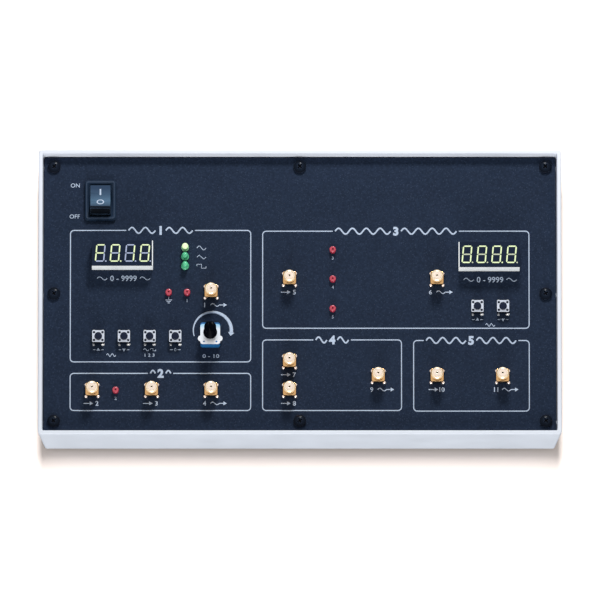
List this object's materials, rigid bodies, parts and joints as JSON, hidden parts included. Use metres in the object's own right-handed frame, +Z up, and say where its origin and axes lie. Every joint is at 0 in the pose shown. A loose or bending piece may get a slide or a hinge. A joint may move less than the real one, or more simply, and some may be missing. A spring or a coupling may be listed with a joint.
{
  "type": "radio frequency trainer",
  "caption": "Shallow open tray closed by a black circuit board with coaxial jacks, push buttons, displays, test points, a rotary control and a rocker switch.",
  "frame": {"origin": "centre of the footprint, on the table under the feet", "axes": "+X to the right along the long side, +Y to the back, +Z up"},
  "size_m": [0.259, 0.1464, 0.053],
  "materials": {
    "white_case": "fine satin, very pale grey",
    "insert_brass": "machined",
    "foot_rubber": "matt",
    "zinc_steel": "zinc plated",
    "black_screw": "black oxide",
    "board_black": "black solder mask",
    "switch_black": "moulded",
    "rocker_black": "polished",
    "button_black": "moulded",
    "shaft_black": "moulded",
    "tinned_metal": "tinned",
    "cover_steel": "bright rolled",
    "jack_gold": "gold plated",
    "insulator_white": "waxy",
    "pot_blue": "moulded",
    "display_white": "moulded",
    "display_dark": "printed",
    "segment_light": "translucent resin",
    "lamp_green": "tinted resin",
    "bead_red": "moulded",
    "chip_black": "moulded",
    "capacitor_sleeve": "shrunk sleeve"
  },
  "bodies": {
    "case": {"board_screws": "black_screw", "case_tray": "white_case", "chip_packages": "chip_black", "display_face_left": "display_dark", "display_face_right": "display_dark", "display_housing_left": "display_white", "display_housing_right": "display_white", "display_segments_left": "segment_light", "display_segments_right": "segment_light", "foot_screws": "zinc_steel", "jack_contacts": "jack_gold", "jack_insulators": "insulator_white", "jack_shell_1": "jack_gold", "jack_shell_10": "jack_gold", "jack_shell_11": "jack_gold", "jack_shell_2": "jack_gold", "jack_shell_3": "jack_gold", "jack_shell_4": "jack_gold", "jack_shell_5": "jack_gold", "jack_shell_6": "jack_gold", "jack_shell_7": "jack_gold", "jack_shell_8": "jack_gold", "jack_shell_9": "jack_gold", "lamp_leads": "tinned_metal", "main_board": "board_black", "pot_base": "pot_blue", "pot_frame": "cover_steel", "pot_terminals": "tinned_metal", "power_inlet_body": "switch_black", "power_inlet_pin": "tinned_metal", "push_switch_base_1": "switch_black", "push_switch_base_2": "switch_black", "push_switch_base_3": "switch_black", "push_switch_base_4": "switch_black", "push_switch_base_5": "switch_black", "push_switch_base_6": "switch_black", "push_switch_covers": "cover_steel", "push_switch_domes": "tinned_metal", "push_switch_legs": "tinned_metal", "rocker_housing": "switch_black", "rocker_terminals": "tinned_metal", "rubber_feet": "foot_rubber", "shield_cans": "tinned_metal", "sine_lamp": "lamp_green", "smoothing_capacitors": "capacitor_sleeve", "square_lamp": "lamp_green", "test_point_beads": "bead_red", "test_point_pins": "tinned_metal", "threaded_inserts": "insert_brass", "triangle_lamp": "lamp_green"},
    "rocker_paddle": {"rocker_paddle": "rocker_black"},
    "pot_shaft": {"pot_shaft": "shaft_black"},
    "push_button_1": {"push_button_1": "button_black"},
    "push_button_2": {"push_button_2": "button_black"},
    "push_button_3": {"push_button_3": "button_black"},
    "push_button_4": {"push_button_4": "button_black"},
    "push_button_5": {"push_button_5": "button_black"},
    "push_button_6": {"push_button_6": "button_black"}
  },
  "joints": [
    {"name": "rocker_tilt", "type": "hinge", "parent": "case", "child": "rocker_paddle", "pos_m": [-0.0988, 0.0479, 0.036], "axis": [1, 0, 0], "range_deg": [0, 30]},
    {"name": "pot_turn", "type": "hinge", "parent": "case", "child": "pot_shaft", "pos_m": [-0.0443, -0.0214, 0.0424], "axis": [0, 0, 1], "range_deg": [-150, 150]},
    {"name": "push_1", "type": "slide", "parent": "case", "child": "push_button_1", "axis": [0, 0, -1], "range_m": [0, 0.00025], "stiffness_N_per_m": 2000},
    {"name": "push_2", "type": "slide", "parent": "case", "child": "push_button_2", "axis": [0, 0, -1], "range_m": [0, 0.00025], "stiffness_N_per_m": 2000},
    {"name": "push_3", "type": "slide", "parent": "case", "child": "push_button_3", "axis": [0, 0, -1], "range_m": [0, 0.00025], "stiffness_N_per_m": 2000},
    {"name": "push_4", "type": "slide", "parent": "case", "child": "push_button_4", "axis": [0, 0, -1], "range_m": [0, 0.00025], "stiffness_N_per_m": 2000},
    {"name": "push_5", "type": "slide", "parent": "case", "child": "push_button_5", "axis": [0, 0, -1], "range_m": [0, 0.00025], "stiffness_N_per_m": 2000},
    {"name": "push_6", "type": "slide", "parent": "case", "child": "push_button_6", "axis": [0, 0, -1], "range_m": [0, 0.00025], "stiffness_N_per_m": 2000}
  ]
}
